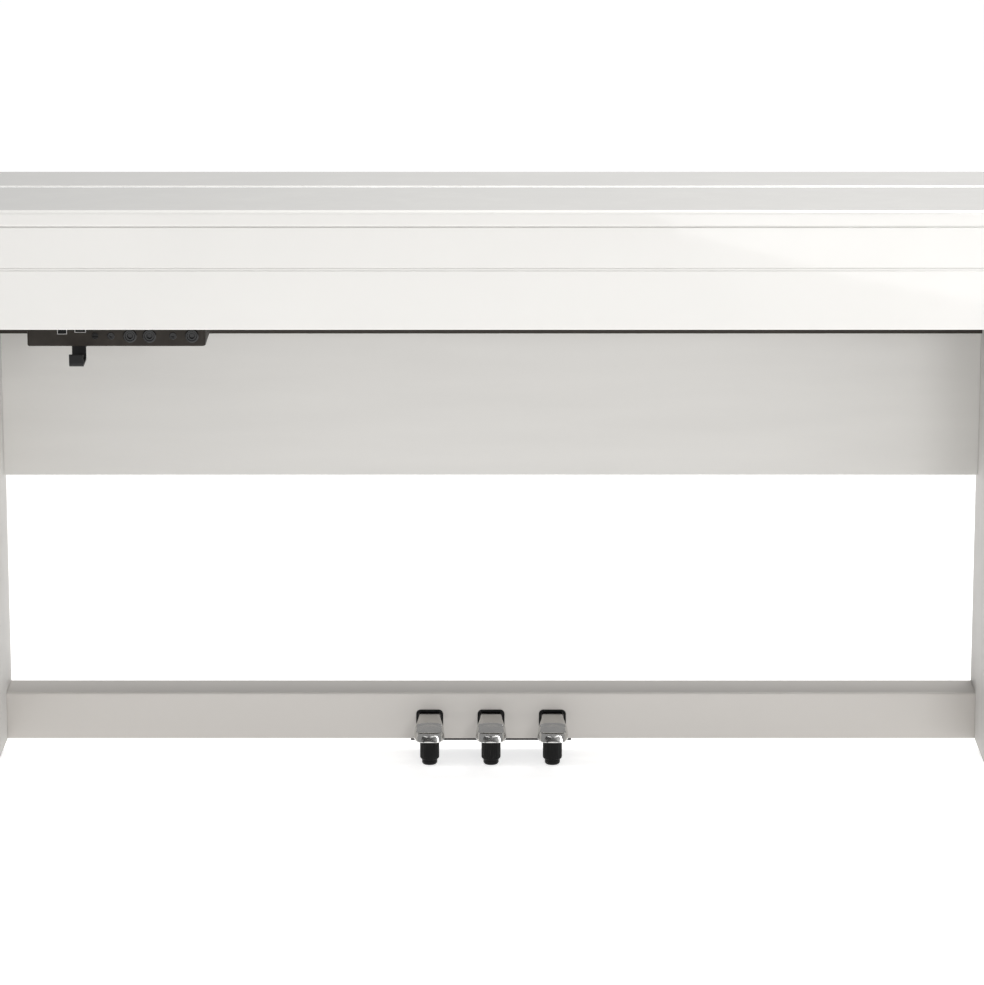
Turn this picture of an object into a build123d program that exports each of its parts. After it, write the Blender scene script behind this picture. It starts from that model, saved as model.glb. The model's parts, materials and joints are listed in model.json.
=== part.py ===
from build123d import *
import math
import os

# A slim cabinet digital piano: two slab sides carry a closed key cabinet, a
# low pedal rail joins them at the floor and a board stiffens the back.
# Millimetres, +Z up, +X to the player's right, front towards -Y.  The origin
# is on the floor, under the middle of the cabinet.

# --- Overall sizes and boards ---
overall_width = 1378.0
overall_depth = 312.0
overall_height = 778.0
side_thickness = 50.0
top_thickness = 19.0
front_thickness = 18.0
bottom_thickness = 15.0
back_thickness = 12.0
back_inset = 2.0
cleat_thickness = 14.0
cleat_height = 58.0
foot_height = 31.0
foot_radius = 15.0
foot_tread_radius = 12.0
foot_tread_height = 10.0
board_round = 1.5

# --- Lid, its hinges and the front flap ---
lid_depth = 189.0
lid_edge_round = 5.0
lid_side_gap = 5.4
rear_side_gap = 5.5
bumper_height = 1.0
bumper_radius = 6.0
hinge_radius = 4.0
hinge_pin_radius = 1.5
hinge_drop = 4.2
hinge_knuckles = 13
hinge_tab_height = 3.0
knuckle_gap = 0.4
leaf_thickness = 1.1
leaf_lift = 1.0
pin_cover = 1.0
running_gap = 0.05
flap_height = 51.1
flap_top_gap = 1.5
flap_groove = 3.4
flap_side_gap = 1.0
groove_round = 2.0
flap_hinge_offset = 3.0
flap_hinge_length = 60.0
flap_hinge_knuckles = 5
flap_hinge_count = 3
flap_hinge_pin_radius = 1.0
flap_hinge_leaf = 18.0
flap_hinge_clear = 0.3
flap_hinge_cover = 0.5
key_slip_height = 74.0

# --- Rear panel and pedal rail ---
rear_panel_thickness = 15.0
rear_panel_inset = 7.0
rear_panel_drop = 250.0
rail_height = 63.0
rail_depth = 62.0
rail_wall = 15.0
rail_round = 10.0

# --- Keyboard ---
white_pitch = 23.6
white_count = 52
key_gap = 0.5
key_height = 22.0
key_setback = 4.0
white_front_length = 50.0
key_visible_length = 145.0
black_rise = 12.0
black_inset = 2.0
sharp_front_gap = 3.0
key_stem_height = 15.0
key_skirt_drop = 4.0
key_tail_length = 31.0
balance_from_front = 228.0
chassis_sheet = 2.0
chassis_drop = 13.0
chassis_back_gap = 6.0
chassis_flange = 18.0
balance_rail_width = 16.0
balance_shoulder = 5.0
felt_width = 20.0
felt_height = 2.6
batten_width = 30.0
batten_count = 4
batten_inset = 30.0

# --- Control strip ---
panel_sheet = 3.0
panel_run = 25.0
panel_rise = 16.0
panel_lip_height = 9.0
panel_key_gap = 3.0
panel_seat = 30.0
ledge_length = 360.0
ledge_height = 6.0
button_travel = 1.5
button_gap = 0.4
button_rise = 3.0
button_width = 16.0
button_length = 8.0
collar_lip = 1.5
collar_sheet = 1.0
knob_radius = 8.0
knob_height = 8.0
knob_shaft_radius = 4.0
knob_shaft_length = 5.0
pointer_width = 1.2
pointer_depth = 1.0
display_width = 60.0
display_length = 14.0

# --- Speakers and circuit board ---
speaker_radius = 52.0
speaker_depth = 38.0
speaker_flange = 4.0
speaker_basket = 17.1
speaker_batten_gap = 36.6
speaker_back_gap = 67.0
grille_pitch = 9.0
grille_slot = 4.0
grille_rows = 9
board_length = 220.0
board_width = 120.0
board_lift = 8.0
board_sheet = 1.6
board_post_radius = 3.0
board_post_inset = 8.0
chip_rise = 1.5
fin_count = 6
fin_pitch = 6.0
fin_sheet = 2.0
fin_width = 40.0
fin_height = 16.0

# --- Jack box and headphone hook ---
jack_box_inset = 59.0
jack_box_width = 223.0
jack_box_setback = 60.0
jack_box_depth = 110.0
jack_box_height = 32.5
jack_box_wall = 2.5
jack_box_round = 6.0
jack_drop = 19.2
phone_flange_radius = 8.5
phone_neck_radius = 5.9
phone_bore_radius = 3.2
phone_bore_length = 30.0
mini_flange_radius = 4.6
mini_neck_radius = 3.4
mini_bore_radius = 1.8
mini_bore_length = 14.0
socket_wall = 1.5
socket_end = 2.0
socket_gap = 0.1
usb_b_size = (12.2, 10.9)
usb_a_size = (14.1, 6.5)
usb_b_tongue = 3.2
usb_a_tongue = 1.6
usb_depth = 14.0
usb_proud = 0.4
usb_rise = 7.6
usb_wall = 0.7
usb_floor = 2.0
inlet_width = 16.0
inlet_length = 18.0
inlet_height = 13.0
inlet_drop = 7.0
inlet_bore_radius = 2.75
inlet_depth = 10.0
hook_width = 17.7
hook_sheet = 3.0
hook_reach = 44.0
hook_drop = 19.3
hook_lip = 16.0
hook_setback = 4.0
hook_tab = 27.0

# --- Pedals and their adjusters ---
pedal_pitch = 81.0
pedal_reach = 60.0
pedal_head_width = 41.0
pedal_neck_width = 26.5
pedal_thickness = 11.0
pedal_top = 66.8
pedal_tip_drop = 12.0
pedal_head_length = 25.0
pedal_head_round = 9.0
pedal_taper = 28.0
pedal_pad_drop = 3.8
pedal_keel = 1.0
pedal_slot_width = 30.0
pedal_slot_top = 68.0
bezel_wall = 2.8
bezel_proud = 0.8
pedal_rod_radius = 4.0
pedal_rod_height = 58.0
pedal_rod_back = 24.0
rod_overhang = 2.0
base_plate_width = 212.0
base_plate_sheet = 2.5
plate_setback = 1.0
ear_sheet = 3.0
spring_offset = 2.0
spring_width = 6.0
spring_wire = 1.8
spring_gap = 0.3
spring_thickness = 2.2
adjuster_forward = 12.0
adjuster_radius = 12.2
adjuster_foot_radius = 9.8
adjuster_stem_radius = 4.0
adjuster_knob_top = 34.0
adjuster_step = 8.5
adjuster_stem_length = 7.5
adjuster_travel = 4.0
adjuster_gap = 0.5
screw_head_radius = 4.0
screw_head_height = 1.6
screw_slot = 1.2
screw_count = 6

# --- Places worked out from the sizes ---
side_x = overall_width / 2
inner_x = side_x - side_thickness
front_y = -overall_depth / 2
back_y = overall_depth / 2
top_z = overall_height
deck_z = top_z - top_thickness
flap_bottom_z = deck_z - flap_top_gap - flap_height
slip_top_z = flap_bottom_z - flap_groove
cabinet_z = slip_top_z - key_slip_height
bed_z = cabinet_z + bottom_thickness
flap_back_y = front_y + front_thickness
hinge_y = front_y + lid_depth
hinge_z = top_z - hinge_drop
lid_back_y = hinge_y - lid_side_gap
rear_board_y = hinge_y + rear_side_gap
back_board_y = back_y - back_inset - back_thickness
key_front_y = flap_back_y + key_setback
key_top_z = slip_top_z + key_height
key_visible_y = key_front_y + key_visible_length
balance_y = key_front_y + balance_from_front
key_end_y = balance_y + key_tail_length
chassis_z = slip_top_z - chassis_drop
half_keyboard = white_count * white_pitch / 2
batten_x = half_keyboard - batten_inset
panel_front_y = key_visible_y - panel_sheet
panel_base_z = key_top_z + panel_key_gap
panel_slope_z = panel_base_z + panel_lip_height
panel_middle = math.hypot(panel_run, panel_rise) / 2
speaker_x = batten_x - batten_width / 2 - speaker_batten_gap - speaker_radius
speaker_y = back_board_y - speaker_back_gap
jack_left_x = -inner_x + jack_box_inset
jack_front_y = front_y + jack_box_setback
jack_z = cabinet_z - jack_drop
jack_floor_z = cabinet_z - jack_box_height
usb_z = jack_z + usb_rise
rail_top_z = foot_height + rail_height
rail_front_y = back_y - rail_depth
rail_back_y = back_y - back_thickness
rod_y = back_y - pedal_rod_back
pedal_tip_y = rail_front_y - pedal_reach
adjuster_y = rail_front_y - adjuster_forward
plate_z = foot_height - base_plate_sheet

panel_plane = Plane(
    origin=(0, panel_front_y, panel_slope_z),
    x_dir=(1, 0, 0),
    z_dir=(0, -panel_rise, panel_run),
)
BASE = (Align.CENTER, Align.CENTER, Align.MIN)


# --- Helpers ---
def slab(x0, x1, y0, y1, z0, z1):
    """A box between two corners."""
    centre = Pos((x0 + x1) / 2, (y0 + y1) / 2, (z0 + z1) / 2)
    return centre * Box(x1 - x0, y1 - y0, z1 - z0)


def along_x(points, x0, x1, radii=None):
    """A YZ outline carried along X, with the listed corners rounded."""
    outline = Polygon(*points, align=None)
    for (y, z), radius in (radii or {}).items():
        corner = outline.vertices().sort_by_distance((y, z, 0))[0]
        outline = fillet(corner, radius)
    return extrude(Plane.YZ.offset(x0) * outline, amount=x1 - x0)


def board_x(x0, x1, y0, y1, z0, z1, radii):
    """A board along X whose four long edges take the given radii.

    The radii run front bottom, back bottom, back top, front top.
    """
    corners = [(y0, z0), (y1, z0), (y1, z1), (y0, z1)]
    rounded = {corner: radius for corner, radius in zip(corners, radii) if radius}
    return along_x(corners, x0, x1, rounded)


def rod_x(x0, x1, y, z, radius):
    """A round rod along X."""
    return Plane(origin=(x0, y, z), z_dir=(1, 0, 0)) * Cylinder(radius, x1 - x0, align=BASE)


def rod_back(x, y0, y1, z, radius):
    """A round rod along Y."""
    return Plane(origin=(x, y0, z), z_dir=(0, 1, 0)) * Cylinder(radius, y1 - y0, align=BASE)


def post(x, y, z0, z1, radius):
    """A round post along Z."""
    return Pos(x, y, z0) * Cylinder(radius, z1 - z0, align=BASE)


def group(shapes):
    """Separate solids kept together in one compound."""
    return Compound([solid for shape in shapes for solid in shape.solids()])


def on_panel(across, up, low, high, width, length):
    """A box standing square on the sloping control strip."""
    centre = Pos(across, up, (low + high) / 2)
    return panel_plane * centre * Box(width, length, high - low)


def panel_post(across, up, low, high, radius):
    """A round post standing square on the sloping control strip."""
    return panel_plane * Pos(across, up, low) * Cylinder(radius, high - low, align=BASE)


# --- Cabinet boards ---
def side_panel(mirrored):
    """A slab side, a little lower in front where the lid's bumpers lie."""
    rest_z = deck_z - bumper_height
    outline = [
        (front_y, foot_height),
        (back_y, foot_height),
        (back_y, deck_z),
        (rear_board_y, deck_z),
        (rear_board_y, rest_z),
        (front_y, rest_z),
    ]
    panel = along_x(outline, inner_x, side_x)
    uprights = panel.edges().filter_by(Axis.Z).filter_by(lambda edge: edge.length > rail_height)
    panel = fillet(uprights, board_round)
    return mirror(panel, about=Plane.YZ) if mirrored else panel


def panel_feet():
    """Four round feet with a narrower tread, one under each slab's corner."""
    feet = []
    for x in (-side_x + side_thickness / 2, side_x - side_thickness / 2):
        for y in (front_y + 2 * foot_radius, back_y - 2 * foot_radius):
            tread = post(x, y, 0, foot_tread_height, foot_tread_radius)
            feet.append(tread + post(x, y, foot_tread_height, foot_height, foot_radius))
    return group(feet)


def rear_panel():
    """The stiffening board behind the player's knees."""
    y1 = back_y - rear_panel_inset
    y0 = y1 - rear_panel_thickness
    low = cabinet_z - rear_panel_drop
    radii = (board_round, board_round, 0, 0)
    return board_x(-inner_x, inner_x, y0, y1, low, cabinet_z, radii)


def bottom_board():
    """The cabinet's floor, slotted under each speaker, and the cleat that the rear panel is screwed to."""
    board = slab(-inner_x, inner_x, flap_back_y, back_board_y, cabinet_z, bed_z)
    reach = speaker_radius - grille_pitch
    for side in (-1, 1):
        for row in range(grille_rows):
            offset = (row - (grille_rows - 1) / 2) * grille_pitch
            half = math.sqrt(reach**2 - offset**2)
            x = side * speaker_x
            y = speaker_y + offset
            board -= slab(x - half, x + half, y - grille_slot / 2, y + grille_slot / 2, cabinet_z, bed_z)
    cleat_back = back_y - rear_panel_inset - rear_panel_thickness
    cleat_y = (cleat_back - cleat_thickness, cleat_back)
    cleat = slab(-inner_x, inner_x, *cleat_y, cabinet_z - cleat_height, cabinet_z)
    return group([board, cleat])


def key_slip():
    """The fixed board across the front, below the flap."""
    radii = (board_round, 0, 0, groove_round)
    return board_x(-inner_x, inner_x, front_y, flap_back_y, cabinet_z, slip_top_z, radii)


def rear_top_board():
    """The fixed rear part of the top."""
    radii = (0, 0, board_round, board_round)
    return board_x(-side_x, side_x, rear_board_y, back_y, deck_z, top_z, radii)


def cabinet_back_board():
    """The board that closes the back of the cabinet."""
    return slab(-inner_x, inner_x, back_board_y, back_y - back_inset, cabinet_z, deck_z)


def key_blocks():
    """A cheek at each end of the keyboard."""
    x0 = half_keyboard + 4 * key_gap
    z1 = panel_base_z + panel_sheet
    blocks = []
    for side in (-1, 1):
        ends = sorted((side * x0, side * inner_x))
        radii = (0, 0, 0, groove_round)
        y0 = flap_back_y + key_setback / 2
        y1 = panel_front_y - 2 * key_gap
        blocks.append(board_x(ends[0], ends[1], y0, y1, bed_z, z1, radii))
    return group(blocks)


def key_bed_battens():
    """Battens that carry the keyboard's sheet chassis on the cabinet floor."""
    battens = []
    for index in range(batten_count):
        x = batten_x * (2 * index / (batten_count - 1) - 1)
        y0 = key_front_y + 2 * key_setback
        y1 = key_end_y - key_setback
        z1 = chassis_z - chassis_sheet
        battens.append(slab(x - batten_width / 2, x + batten_width / 2, y0, y1, bed_z, z1))
    return group(battens)


# --- Lid, flap and hinges ---
def lid_panel():
    """The folding front part of the top."""
    radii = (board_round, 0, board_round, lid_edge_round)
    return board_x(-side_x, side_x, front_y, lid_back_y, deck_z, top_z, radii)


def lid_front_flap():
    """The flap that hangs from the lid in front of the keys."""
    end = inner_x - flap_side_gap
    radii = (groove_round, board_round, 0, board_round)
    return board_x(-end, end, front_y, flap_back_y, flap_bottom_z, deck_z - flap_top_gap, radii)


def knuckles(x0, x1, count, first, y, z, radius, hole):
    """Every second knuckle of a hinge, bored where a hole is given."""
    pitch = (x1 - x0) / count
    rolls = []
    for index in range(first, count, 2):
        start = x0 + index * pitch + knuckle_gap / 2
        end = x0 + (index + 1) * pitch - knuckle_gap / 2
        roll = rod_x(start, end, y, z, radius)
        if hole:
            roll -= rod_x(start, end, y, z, hole)
        rolls.append((start, end, roll))
    return rolls


def lid_hinge_leaf(fixed):
    """One leaf of the long lid hinge; the fixed leaf carries the pin."""
    sign = 1 if fixed else -1
    hole = 0 if fixed else hinge_pin_radius + running_gap
    end = side_x - foot_radius
    seat_y = rear_board_y if fixed else lid_back_y
    plate_y = sorted((seat_y, seat_y - sign * leaf_thickness))
    leaf = slab(-end, end, plate_y[0], plate_y[1], deck_z + leaf_lift, hinge_z)
    first = 0 if fixed else 1
    for x0, x1, roll in knuckles(-end, end, hinge_knuckles, first, hinge_y, hinge_z, hinge_radius, hole):
        tab_y = sorted((seat_y, hinge_y + sign * (hinge_pin_radius + pin_cover)))
        leaf += slab(x0, x1, tab_y[0], tab_y[1], hinge_z - hinge_tab_height, hinge_z) + roll
    if fixed:
        leaf += rod_x(-end, end, hinge_y, hinge_z, hinge_pin_radius)
    return leaf


def flap_hinge_leaves(on_lid):
    """The small butt hinges' leaves; those on the lid carry the pins."""
    y = flap_back_y + flap_hinge_offset
    z = deck_z - flap_hinge_offset
    roll_radius = flap_hinge_offset - knuckle_gap / 2
    pin = flap_hinge_pin_radius
    reach = flap_hinge_offset + flap_hinge_leaf
    clear = flap_hinge_offset + flap_hinge_clear
    hole = 0 if on_lid else pin + running_gap
    first = 0 if on_lid else 1
    spread = inner_x * 4 / 3
    leaves = []
    for index in range(flap_hinge_count):
        middle = (index - (flap_hinge_count - 1) / 2) * spread / (flap_hinge_count - 1)
        x0 = middle - flap_hinge_length / 2
        x1 = middle + flap_hinge_length / 2
        if on_lid:
            leaf = slab(x0, x1, y + clear, y + reach, deck_z - leaf_thickness, deck_z)
            leaf += rod_x(x0, x1, y, z, pin)
        else:
            leaf = slab(x0, x1, flap_back_y, flap_back_y + leaf_thickness, z - reach, z - clear)
        for start, end, roll in knuckles(x0, x1, flap_hinge_knuckles, first, y, z, roll_radius, hole):
            if on_lid:
                tab = slab(start, end, y, y + clear, z + pin + flap_hinge_cover, deck_z)
            else:
                tab = slab(start, end, flap_back_y, y - pin - flap_hinge_cover, z - clear, z)
            leaf += tab + roll
        leaves.append(leaf)
    return group(leaves)


def lid_bumpers():
    """Four rubber dots on the slab sides that the closed lid lies on."""
    z0 = deck_z - bumper_height
    dots = []
    for x in (-side_x + side_thickness / 2, side_x - side_thickness / 2):
        for y in (front_y + side_thickness, hinge_y - side_thickness):
            dots.append(post(x, y, z0, deck_z, bumper_radius))
    return group(dots)


# --- Keyboard ---
NATURALS = {"c": 0, "d": 1, "e": 2, "f": 3, "g": 4, "a": 5, "b": 6}
CHROMATIC = ["c", "c_sharp", "d", "d_sharp", "e", "f", "f_sharp", "g", "g_sharp", "a", "a_sharp", "b"]


def lane(note):
    """The narrow strip, from the octave's left edge, that a key has between the sharps."""
    index = CHROMATIC.index(note)
    if index < 5:
        width = 3 * white_pitch / 5
        return index * width, (index + 1) * width
    width = 4 * white_pitch / 7
    start = 3 * white_pitch + (index - 5) * width
    return start, start + width


def white_key(note, octave_x, full_left, full_right):
    """A natural key: a wide deep front, a narrow part between the sharps and a low stem."""
    front0 = octave_x + NATURALS[note] * white_pitch + key_gap
    front1 = front0 + white_pitch - 2 * key_gap
    lane0, lane1 = lane(note)
    rear0 = front0 if full_left else octave_x + lane0 + key_gap
    rear1 = front1 if full_right else octave_x + lane1 - key_gap
    step_y = key_front_y + white_front_length
    key = slab(front0, front1, key_front_y, step_y, slip_top_z, key_top_z)
    key += slab(rear0, rear1, step_y, key_visible_y, slip_top_z + key_skirt_drop, key_top_z)
    stem = (octave_x + lane0 + key_gap, octave_x + lane1 - key_gap)
    return key + slab(*stem, key_visible_y, key_end_y, slip_top_z, slip_top_z + key_stem_height)


def black_key(note, octave_x):
    """A sharp key: a raised block with a sloping front on a low stem."""
    lane0, lane1 = lane(note)
    x0 = octave_x + lane0 + black_inset
    x1 = octave_x + lane1 - black_inset
    y0 = key_front_y + white_front_length + sharp_front_gap
    y1 = panel_front_y - 2 * key_gap
    z0 = slip_top_z
    z1 = key_top_z + black_rise
    stem_z = z0 + key_stem_height
    outline = [(y0, z0), (key_end_y, z0), (key_end_y, stem_z), (y1, stem_z)]
    outline += [(y1, z1), (y0 + black_rise / 2, z1), (y0, key_top_z)]
    return along_x(outline, x0, x1)


def keys_of(note):
    """Every key of one note name, from the lowest octave to the highest."""
    first_octave_x = -half_keyboard - NATURALS["a"] * white_pitch
    keys = []
    for octave in range(9):
        octave_x = first_octave_x + octave * 7 * white_pitch
        in_lowest = octave == 0 and note in ("a", "a_sharp", "b")
        in_highest = octave == 8 and note == "c"
        if not (0 < octave < 8 or in_lowest or in_highest):
            continue
        if "sharp" in note:
            keys.append(black_key(note, octave_x))
        else:
            keys.append(white_key(note, octave_x, in_lowest and note == "a", in_highest))
    return group(keys)


def key_chassis():
    """A folded sheet under the keys whose rear flange stops their tails."""
    s = chassis_sheet
    back = key_end_y + chassis_back_gap
    lip_y = back - chassis_flange
    stop_z = slip_top_z + key_stem_height + 2 * s
    outline = [
        (key_front_y + s, chassis_z - s),
        (back, chassis_z - s),
        (back, stop_z + s),
        (lip_y, stop_z + s),
        (lip_y, stop_z),
        (back - s, stop_z),
        (back - s, chassis_z),
        (key_front_y + s, chassis_z),
    ]
    return along_x(outline, -half_keyboard, half_keyboard)


def key_balance_rail():
    """The ridge that every key rocks on."""
    half = balance_rail_width / 2
    shoulder = slip_top_z - balance_shoulder
    outline = [(balance_y - half, chassis_z), (balance_y + half, chassis_z)]
    outline += [(balance_y + half, shoulder), (balance_y, slip_top_z), (balance_y - half, shoulder)]
    return along_x(outline, -half_keyboard, half_keyboard)


def key_stop_felt():
    """The felt strip that the pressed keys land on."""
    y0 = key_front_y + 3 * chassis_sheet
    return slab(-half_keyboard, half_keyboard, y0, y0 + felt_width, chassis_z, chassis_z + felt_height)


# --- Control strip ---
button_places = {"power_button": -540.0, "tone_button": -120.0, "metronome_button": 120.0}
knob_across = -450.0


def control_panel():
    """The sheet between the keys and the rear top board, with a low music ledge."""
    s = panel_sheet
    y0 = panel_front_y
    y1 = y0 + panel_run
    z0 = panel_base_z
    z1 = panel_slope_z + panel_rise
    seat_y = rear_board_y + panel_seat
    outline = [
        (y0, z0),
        (y0 + s, z0),
        (y0 + s, panel_slope_z - s / 2),
        (y1 + s / 2, z1 - s),
        (seat_y + s, z1 - s),
        (seat_y + s, deck_z),
        (seat_y, deck_z),
        (seat_y, z1),
        (y1, z1),
        (y0, panel_slope_z),
    ]
    panel = along_x(outline, -inner_x, inner_x)
    deep = 3 * s
    for across in button_places.values():
        width = button_width + 2 * button_gap
        length = button_length + 2 * button_gap
        panel -= on_panel(across, panel_middle, -deep, s, width, length)
    panel -= panel_post(knob_across, panel_middle, -deep, s, knob_shaft_radius + button_gap)
    panel -= on_panel(0, panel_middle, -s / 2, s, display_width, display_length)
    ledge = on_panel(0, 2 * s / 3, -s / 4, ledge_height, ledge_length, s)
    return panel + (ledge - on_panel(0, panel_middle, -s, s, display_width, display_length))


def display_window():
    """The smoked window of the display, let into the strip."""
    return on_panel(0, panel_middle, -panel_sheet / 2, 0, display_width, display_length)


def panel_button(name):
    """A push button with a retaining collar under the strip."""
    across = button_places[name]
    low = -panel_sheet - button_travel - collar_sheet
    width = button_width + 2 * collar_lip
    length = button_length + 2 * collar_lip
    cap = on_panel(across, panel_middle, low, button_rise, button_width, button_length)
    return cap + on_panel(across, panel_middle, low - collar_sheet, low, width, length)


def volume_knob():
    """A round knob on a short shaft."""
    knob = panel_post(knob_across, panel_middle, button_gap, knob_height, knob_radius)
    knob = knob + panel_post(knob_across, panel_middle, -knob_shaft_length, button_gap, knob_shaft_radius)
    up = panel_middle + knob_radius / 2
    low = knob_height - pointer_depth
    return knob - on_panel(knob_across, up, low, knob_height, pointer_width, knob_radius)


# --- Speakers and circuit board ---
def speaker(side):
    """A shallow speaker that fires down through the slots."""
    x = side * speaker_x
    flange_z = bed_z + speaker_flange
    basket_z = flange_z + speaker_basket
    flange = post(x, speaker_y, bed_z, flange_z, speaker_radius)
    basket_low = speaker_radius * 0.9
    basket_high = speaker_radius * 0.6
    basket = Pos(x, speaker_y, flange_z) * Cone(basket_low, basket_high, speaker_basket, align=BASE)
    magnet = post(x, speaker_y, basket_z, bed_z + speaker_depth, speaker_radius * 0.55)
    mouth = post(x, speaker_y, bed_z, bed_z + speaker_flange * 0.75, speaker_radius * 0.8)
    return flange + basket + magnet - mouth


def speakers():
    """The left and the right speaker."""
    return group([speaker(-1), speaker(1)])


BOARD_CHIPS = ((-55.0, 3.0, 30.0, 30.0), (17.0, -20.0, 14.0, 20.0))


def main_board():
    """The sound board on four posts, with its heat sink and chips."""
    z = bed_z + board_lift
    half_x = board_length / 2
    half_y = board_width / 2
    top = z + board_sheet
    board = slab(-half_x, half_x, -half_y, half_y, z, top)
    post_x = half_x - board_post_inset
    post_y = half_y - board_post_inset
    for x in (-post_x, post_x):
        for y in (-post_y, post_y):
            board += post(x, y, bed_z, z, board_post_radius)
    for x, y, width, depth in BOARD_CHIPS:
        board += slab(x - width / 2, x + width / 2, y - depth / 2, y + depth / 2, z, top + chip_rise)
    for fin in range(fin_count):
        x = half_x / 2 + fin * fin_pitch
        board += slab(x, x + fin_sheet, -fin_width / 2, fin_width / 2, z, top + fin_height)
    return board


# --- Jack box ---
phones_x = jack_left_x + 206.1
output_x = (jack_left_x + 128.7, jack_left_x + 153.0)
mini_x = (jack_left_x + 104.8, jack_left_x + 182.3)
usb_b_x = jack_left_x + 43.9
usb_a_x = jack_left_x + 66.6
hook_x = jack_left_x + 64.2
box_screw_x = jack_left_x + 85.2


def jack_box():
    """A shallow moulded box under the cabinet with the socket holes in its front."""
    x1 = jack_left_x + jack_box_width
    y1 = jack_front_y + jack_box_depth
    box = slab(jack_left_x, x1, jack_front_y, y1, jack_floor_z, cabinet_z)
    box = fillet(box.edges().filter_by(Axis.Z), jack_box_round)
    box = fillet(box.faces().sort_by(Axis.Z)[0].edges(), jack_box_wall * 0.8)
    w = jack_box_wall
    box -= slab(jack_left_x + w, x1 - w, jack_front_y + w, y1 - w, jack_floor_z + w, cabinet_z)
    wall = (jack_front_y - 1, jack_front_y + w + 1)
    for x in (phones_x, *output_x):
        box -= rod_back(x, *wall, jack_z, phone_neck_radius + socket_gap)
    for x in mini_x:
        box -= rod_back(x, *wall, jack_z, mini_neck_radius + socket_gap)
    for x, (width, height) in ((usb_b_x, usb_b_size), (usb_a_x, usb_a_size)):
        half = width / 2 + socket_gap
        tall = height / 2 + socket_gap
        box -= slab(x - half, x + half, *wall, usb_z - tall, usb_z + tall)
    return box


def round_socket(x, flange_radius, neck_radius, bore_radius, bore_length):
    """A panel socket: flange and nut in front of the wall, body behind it."""
    y0 = jack_front_y
    y1 = y0 + bore_length
    proud = flange_radius / 5
    half = neck_radius + socket_wall
    socket = rod_back(x, y0 - proud, y0, jack_z, flange_radius)
    socket += rod_back(x, y0, y0 + jack_box_wall, jack_z, neck_radius)
    socket += slab(x - half, x + half, y0 + jack_box_wall, y1 + socket_end, jack_z - half, jack_z + half)
    return socket - rod_back(x, y0 - proud, y1 - proud, jack_z, bore_radius)


def phone_socket(x):
    """A quarter-inch socket."""
    return round_socket(x, phone_flange_radius, phone_neck_radius, phone_bore_radius, phone_bore_length)


def mini_socket(x):
    """A small socket."""
    return round_socket(x, mini_flange_radius, mini_neck_radius, mini_bore_radius, mini_bore_length)


def usb_shell(x, width, height, tongue_height):
    """A metal port shell with its plastic tongue inside."""
    y0 = jack_front_y - usb_proud
    y1 = jack_front_y + usb_depth
    half = width / 2
    tall = height / 2
    inner = half - usb_wall
    inner_tall = tall - usb_wall
    tongue = tongue_height / 2
    shell = slab(x - half, x + half, y0, y1, usb_z - tall, usb_z + tall)
    shell -= slab(x - inner, x + inner, y0, y1 - usb_floor, usb_z - inner_tall, usb_z + inner_tall)
    return shell + slab(x - half / 2, x + half / 2, y0 + usb_floor, y1, usb_z - tongue, usb_z + tongue)


def usb_ports():
    """The square device port and the flat host port."""
    device = usb_shell(usb_b_x, *usb_b_size, usb_b_tongue)
    host = usb_shell(usb_a_x, *usb_a_size, usb_a_tongue)
    return group([device, host])


def headphone_hook():
    """A J of bent strip screwed under the jack box."""
    s = hook_sheet
    back = jack_front_y + hook_setback + s
    strap = back - s
    tip = back - hook_reach
    low = jack_floor_z - hook_drop
    outline = [
        (back + hook_tab, jack_floor_z),
        (strap, jack_floor_z),
        (strap, low + s),
        (tip + s, low + s),
        (tip + s, low + hook_lip),
        (tip, low + hook_lip),
        (tip, low),
        (back, low),
        (back, jack_floor_z - s),
        (back + hook_tab, jack_floor_z - s),
    ]
    radii = {(strap, low + s): s, (tip + s, low + s): s, (tip, low): 2 * s, (back, low): 2 * s}
    radii[(tip + s, low + hook_lip)] = s / 3
    radii[(tip, low + hook_lip)] = s / 3
    return along_x(outline, hook_x - hook_width / 2, hook_x + hook_width / 2, radii)


def dc_inlet():
    """The power inlet under the cabinet floor, open towards the player."""
    x = inner_x - jack_box_inset
    half = inlet_width / 2
    y0 = -half
    body = slab(x - half, x + half, y0, y0 + inlet_length, cabinet_z - inlet_height, cabinet_z)
    return body - rod_back(x, y0, y0 + inlet_depth, cabinet_z - inlet_drop, inlet_bore_radius)


# --- Pedal rail and pedals ---
pedal_x = (-pedal_pitch, 0.0, pedal_pitch)


def slot_shape(x, width, top, y0, y1):
    """A slot open at the bottom, with rounded upper corners, through the rail's front."""
    slot = slab(x - width / 2, x + width / 2, y0, y1, 0, top)
    upper = slot.faces().sort_by(Axis.Z)[-1].edges().filter_by(Axis.Y)
    return fillet(upper, width / 6)


def pedal_rail():
    """The rail's front and top in one moulded board, slotted for the pedals."""
    low = foot_height
    outline = [
        (rail_front_y, low),
        (rail_front_y + rail_wall, low),
        (rail_front_y + rail_wall, rail_top_z - rail_wall),
        (back_y, rail_top_z - rail_wall),
        (back_y, rail_top_z),
        (rail_front_y, rail_top_z),
    ]
    radii = {(rail_front_y, rail_top_z): rail_round, (rail_front_y, low): board_round}
    rail = along_x(outline, -inner_x, inner_x, radii)
    width = pedal_slot_width + 2 * bezel_wall
    top = pedal_slot_top + bezel_wall
    for x in pedal_x:
        rail -= slot_shape(x, width, top, rail_front_y, rail_front_y + rail_wall)
    return rail


def pedal_rail_back():
    """The rail's back board."""
    return slab(-inner_x, inner_x, rail_back_y, back_y, foot_height, rail_top_z - rail_wall)


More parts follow.
